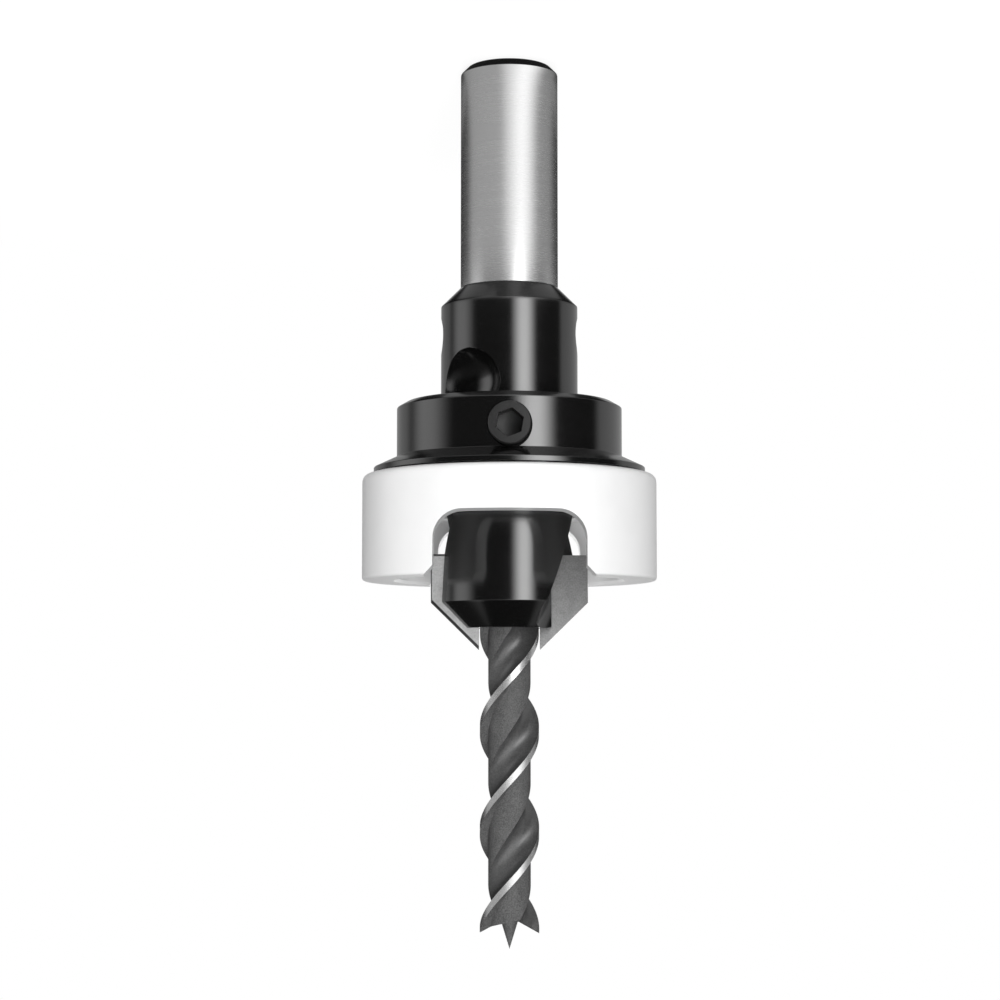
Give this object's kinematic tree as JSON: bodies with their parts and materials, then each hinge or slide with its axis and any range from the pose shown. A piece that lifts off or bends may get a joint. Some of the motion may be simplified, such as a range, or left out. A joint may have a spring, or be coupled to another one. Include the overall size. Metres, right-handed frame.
{
  "type": "drill countersink with depth stop",
  "caption": "Drill bit in a carbide-tipped countersink with a clamped collar and a free-running plastic depth stop ring.",
  "frame": {"origin": "centre of the shank's end face, on the tool's axis, with the tool standing on that face", "axes": "+Z along the tool's axis from the shank to the drill's point; +X towards one cutting tip; -Y towards the collar's clamp screw and one window of the ring"},
  "size_m": [0.03, 0.03, 0.0902],
  "materials": {
    "blackened_steel": "gloss black, with the shank ground bright",
    "drill_steel": "matt dark flutes with ground margins",
    "carbide": "fine ground grey carbide",
    "screw_steel": "satin black",
    "bearing_steel": "polished bearing steel",
    "cage_plastic": "moulded black plastic",
    "white_plastic": "turned white plastic, satin"
  },
  "bodies": {
    "tool": {"tool_body": "blackened_steel", "carbide_tip_1": "carbide", "carbide_tip_2": "carbide", "drill_clamp_screw_1": "screw_steel", "drill_clamp_screw_2": "screw_steel"},
    "drill": {"drill_bit": "drill_steel"},
    "collar": {"stop_collar": "blackened_steel", "collar_clamp_screw": "screw_steel", "bearing_inner_ring": "bearing_steel"},
    "ring": {"stop_ring": "white_plastic", "bearing_outer_ring": "bearing_steel", "bearing_shield_1": "bearing_steel", "bearing_shield_2": "bearing_steel"},
    "cage": {"bearing_cage": "cage_plastic", "bearing_ball_01": "bearing_steel", "bearing_ball_02": "bearing_steel", "bearing_ball_03": "bearing_steel", "bearing_ball_04": "bearing_steel", "bearing_ball_05": "bearing_steel", "bearing_ball_06": "bearing_steel", "bearing_ball_07": "bearing_steel", "bearing_ball_08": "bearing_steel", "bearing_ball_09": "bearing_steel", "bearing_ball_10": "bearing_steel", "bearing_ball_11": "bearing_steel", "bearing_ball_12": "bearing_steel", "bearing_ball_13": "bearing_steel", "bearing_ball_14": "bearing_steel", "bearing_ball_15": "bearing_steel", "bearing_ball_16": "bearing_steel"}
  },
  "joints": [
    {"name": "drill_slide", "type": "slide", "parent": "tool", "child": "drill", "axis": [0, 0, 1], "range_m": [-0.0055, 0.006]},
    {"name": "depth_slide", "type": "slide", "parent": "tool", "child": "collar", "axis": [0, 0, 1], "range_m": [-0.0095, 0.0035]},
    {"name": "ring_spin", "type": "hinge", "parent": "collar", "child": "ring", "pos_m": [0, 0, 0.0438], "axis": [0, 0, 1], "continuous": true},
    {"name": "cage_spin", "type": "hinge", "parent": "collar", "child": "cage", "pos_m": [0, 0, 0.0438], "axis": [0, 0, 1], "continuous": true}
  ],
  "couplings": [
    {"joint": "cage_spin", "follows": "ring_spin", "ratio": 0.5397}
  ]
}
